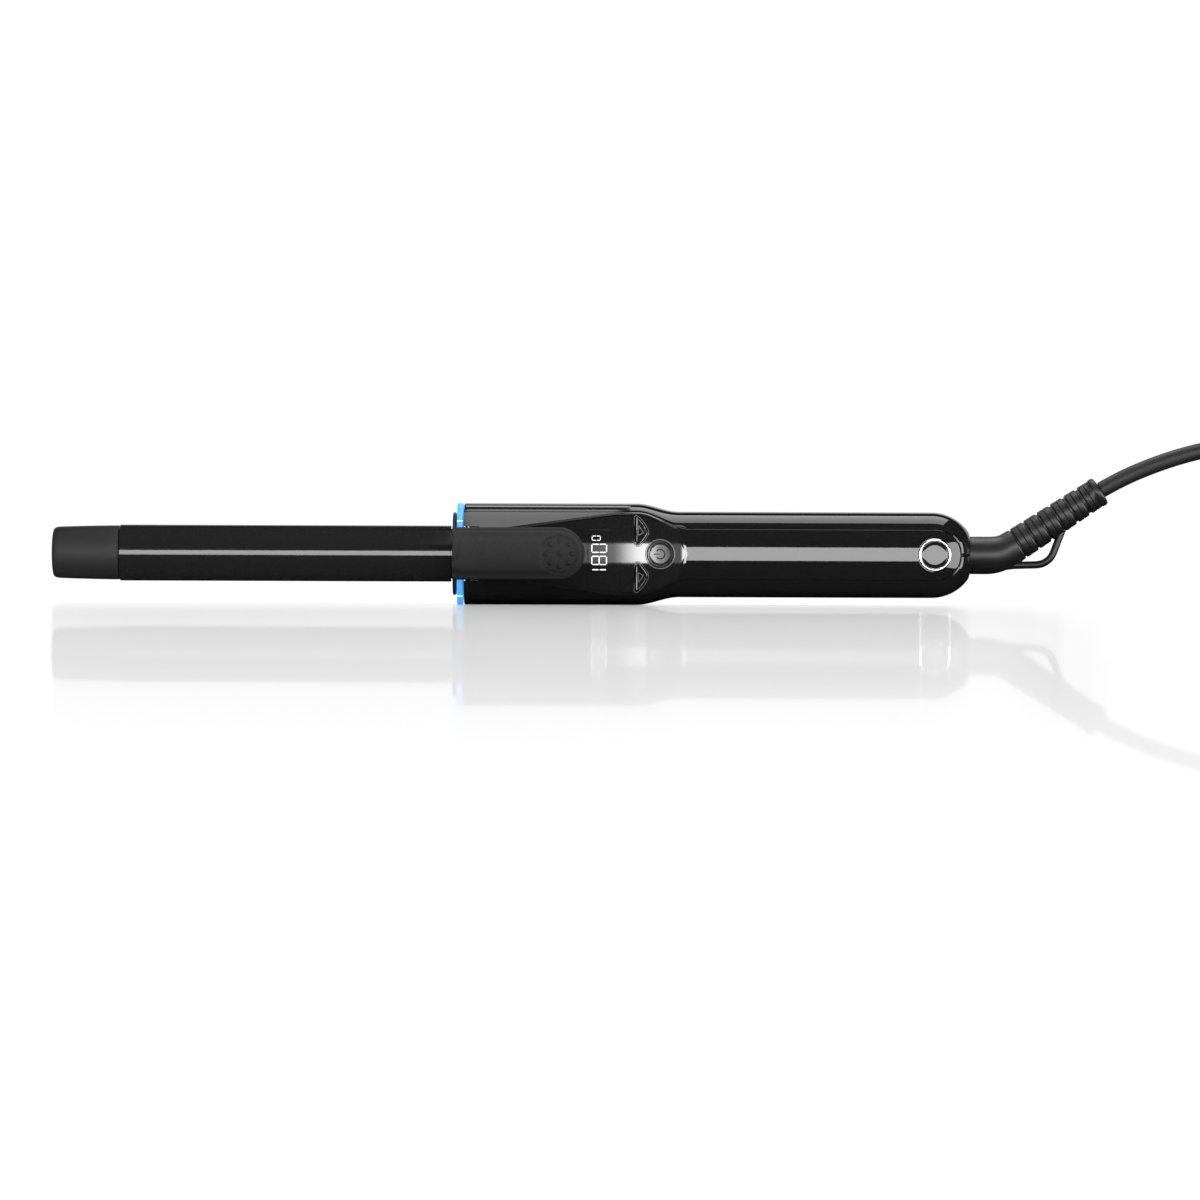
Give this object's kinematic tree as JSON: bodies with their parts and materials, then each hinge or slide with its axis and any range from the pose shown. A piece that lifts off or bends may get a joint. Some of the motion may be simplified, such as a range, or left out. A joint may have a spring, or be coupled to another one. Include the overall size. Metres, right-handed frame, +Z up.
{
  "type": "curling iron",
  "caption": "Curling iron with a black barrel, sprung clip and thumb lever, lit collar ring, display and keys on the handle, and a swivelling cord.",
  "frame": {"origin": "on the flat underside of the light ring, which is the surface the iron rests on, straight below the barrel's axis", "axes": "+X along the barrel towards the cord, +Y away from the controls, which face -Y, and +Z up"},
  "size_m": [0.7155, 0.0455, 0.0639],
  "materials": {
    "rear_housing": "gloss black",
    "front_panel": "gloss black",
    "control_fascia": "gloss black",
    "display_window": "smoked gloss",
    "display_module": "matt",
    "control_board": "circuit board",
    "power_switch": "satin",
    "up_switch": "satin",
    "down_switch": "satin",
    "badge_ring": "polished",
    "badge_disc": "gloss black",
    "light_ring": "lit blue",
    "ring_lamp_board": "matt",
    "collar_plate": "satin black",
    "barrel_bush": "matt",
    "hinge_pin": "bright",
    "barrel_tube": "satin black ceramic coating",
    "cool_tip": "matt black",
    "tip_insulator": "matt",
    "heater_plate": "matt",
    "heat_spreader_front": "satin",
    "heat_spreader_back": "satin",
    "thermal_fuse": "satin",
    "power_board": "circuit board",
    "film_capacitor": "satin",
    "filter_capacitor": "satin",
    "triac": "satin",
    "mains_fuse": "matt",
    "heater_lead_live": "insulated wire",
    "heater_lead_neutral": "insulated wire",
    "supply_lead_live": "insulated wire",
    "supply_lead_neutral": "insulated wire",
    "live_brush": "satin",
    "neutral_brush": "satin",
    "brush_carrier": "satin",
    "swivel_socket": "satin black",
    "housing_screw_front": "bright",
    "housing_screw_rear": "bright",
    "cord_tube": "satin black",
    "cord_hank": "satin black",
    "cord_tail": "satin black",
    "cord_tie": "matt black",
    "plug_body": "satin black",
    "plug_pin_left": "nickel",
    "plug_pin_right": "nickel",
    "clip_plate": "satin black",
    "thumb_lever": "soft matt black",
    "lever_screw_front": "bright",
    "lever_screw_rear": "bright",
    "torsion_spring": "bright",
    "power_button": "gloss black",
    "up_button": "gloss black",
    "down_button": "gloss black",
    "swivel_spool": "satin black",
    "slip_ring_live": "bright",
    "slip_ring_neutral": "bright",
    "cord_boot": "satin black"
  },
  "bodies": {
    "handle": {"rear_housing": "rear_housing", "front_panel": "front_panel", "control_fascia": "control_fascia", "display_window": "display_window", "display_module": "display_module", "control_board": "control_board", "power_switch": "power_switch", "up_switch": "up_switch", "down_switch": "down_switch", "badge_ring": "badge_ring", "badge_disc": "badge_disc", "light_ring": "light_ring", "ring_lamp_board": "ring_lamp_board", "collar_plate": "collar_plate", "barrel_bush": "barrel_bush", "hinge_pin": "hinge_pin", "barrel_tube": "barrel_tube", "cool_tip": "cool_tip", "tip_insulator": "tip_insulator", "heater_plate": "heater_plate", "heat_spreader_front": "heat_spreader_front", "heat_spreader_back": "heat_spreader_back", "thermal_fuse": "thermal_fuse", "power_board": "power_board", "film_capacitor": "film_capacitor", "filter_capacitor": "filter_capacitor", "triac": "triac", "mains_fuse": "mains_fuse", "heater_lead_live": "heater_lead_live", "heater_lead_neutral": "heater_lead_neutral", "supply_lead_live": "supply_lead_live", "supply_lead_neutral": "supply_lead_neutral", "live_brush": "live_brush", "neutral_brush": "neutral_brush", "brush_carrier": "brush_carrier", "swivel_socket": "swivel_socket", "housing_screw_front": "housing_screw_front", "housing_screw_rear": "housing_screw_rear", "cord_tube": "cord_tube", "cord_hank": "cord_hank", "cord_tail": "cord_tail", "cord_tie": "cord_tie", "plug_body": "plug_body", "plug_pin_left": "plug_pin_left", "plug_pin_right": "plug_pin_right"},
    "clamp": {"clip_plate": "clip_plate", "thumb_lever": "thumb_lever", "lever_screw_front": "lever_screw_front", "lever_screw_rear": "lever_screw_rear", "torsion_spring": "torsion_spring"},
    "power_key": {"power_button": "power_button"},
    "up_key": {"up_button": "up_button"},
    "down_key": {"down_button": "down_button"},
    "cord_swivel": {"swivel_spool": "swivel_spool", "slip_ring_live": "slip_ring_live", "slip_ring_neutral": "slip_ring_neutral", "cord_boot": "cord_boot"}
  },
  "joints": [
    {"name": "clamp_hinge", "type": "hinge", "parent": "handle", "child": "clamp", "pos_m": [0.003, -0.0164, 0.0193], "axis": [0, 0, 1], "range_deg": [0, 11], "stiffness_Nm_per_rad": 0.5, "springref_deg": -14.32},
    {"name": "power_press", "type": "slide", "parent": "handle", "child": "power_key", "axis": [0, 1, 0], "range_m": [0, 0.0005], "stiffness_N_per_m": 600, "springref_m": -0.001},
    {"name": "up_press", "type": "slide", "parent": "handle", "child": "up_key", "axis": [0, 1, 0], "range_m": [0, 0.0005], "stiffness_N_per_m": 600, "springref_m": -0.001},
    {"name": "down_press", "type": "slide", "parent": "handle", "child": "down_key", "axis": [0, 1, 0], "range_m": [0, 0.0005], "stiffness_N_per_m": 600, "springref_m": -0.001},
    {"name": "cord_turn", "type": "hinge", "parent": "handle", "child": "cord_swivel", "pos_m": [0.184, 0, 0.0193], "axis": [1, 0, 0], "continuous": true}
  ]
}
